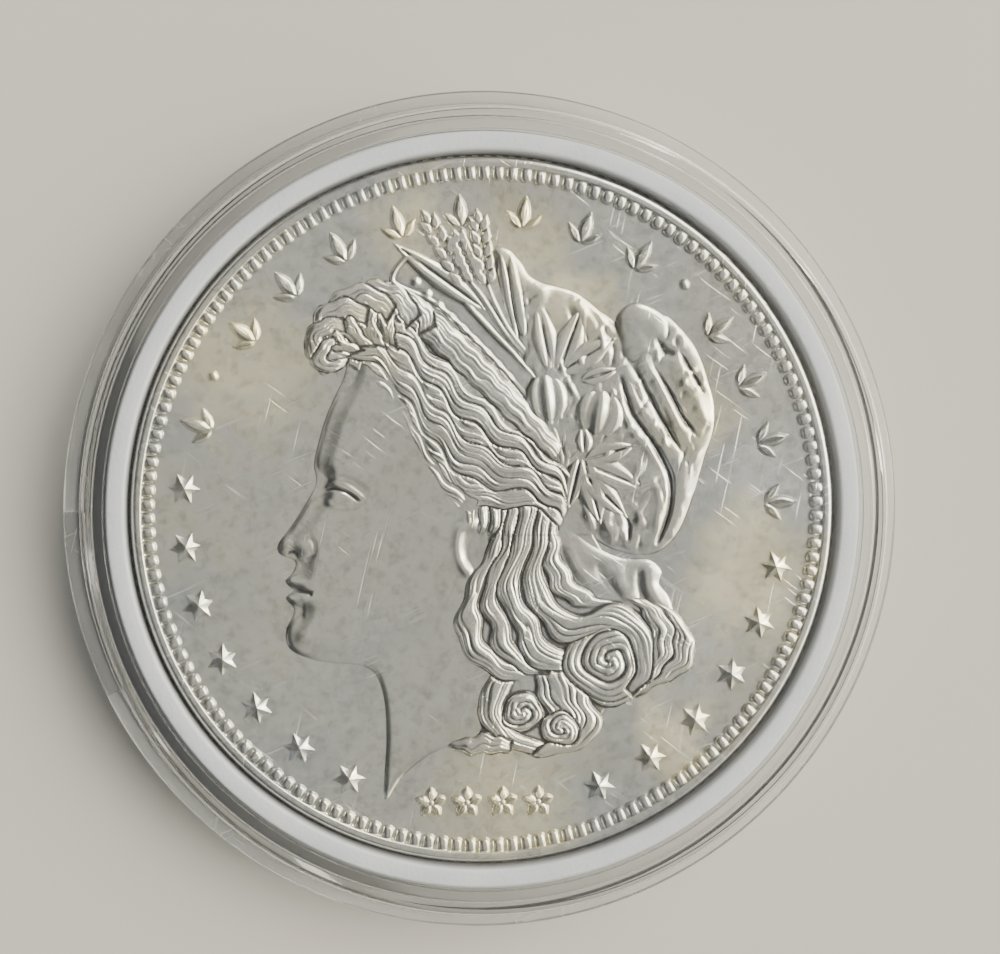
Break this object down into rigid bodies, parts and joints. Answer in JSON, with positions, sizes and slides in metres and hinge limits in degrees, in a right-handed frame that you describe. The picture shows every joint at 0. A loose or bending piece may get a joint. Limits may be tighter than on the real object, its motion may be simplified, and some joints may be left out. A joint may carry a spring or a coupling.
{
  "type": "coin capsule",
  "caption": "Clear round coin capsule: a base and a push-on lid with flanges and a thumb notch, holding a white foam insert ring round a reeded coin with a classical head.",
  "frame": {"origin": "centre of the base's outer face, on the capsule's axis", "axes": "+Z along the capsule's axis out through the lid; +Y up the coin's portrait; +X to the portrait's right"},
  "size_m": [0.045, 0.045, 0.0062],
  "materials": {
    "clear_acrylic": "gloss",
    "white_foam": "matte",
    "coin_silver": "satin"
  },
  "bodies": {
    "base": {"capsule_base": "clear_acrylic"},
    "lid": {"capsule_lid": "clear_acrylic"},
    "ring": {"insert_ring": "white_foam"},
    "coin_body": {"coin": "coin_silver"}
  },
  "joints": [
    {"name": "lid_lift", "type": "slide", "parent": "base", "child": "lid", "axis": [0, 0, 1], "range_m": [0, 0.03]},
    {"name": "ring_lift", "type": "slide", "parent": "base", "child": "ring", "axis": [0, 0, 1], "range_m": [0, 0.01]},
    {"name": "coin_lift", "type": "slide", "parent": "ring", "child": "coin_body", "axis": [0, 0, 1], "range_m": [0, 0.01]}
  ],
  "couplings": [
    {"joint": "ring_lift", "follows": "lid_lift", "ratio": 0.33333},
    {"joint": "coin_lift", "follows": "lid_lift", "ratio": 0.33333}
  ]
}
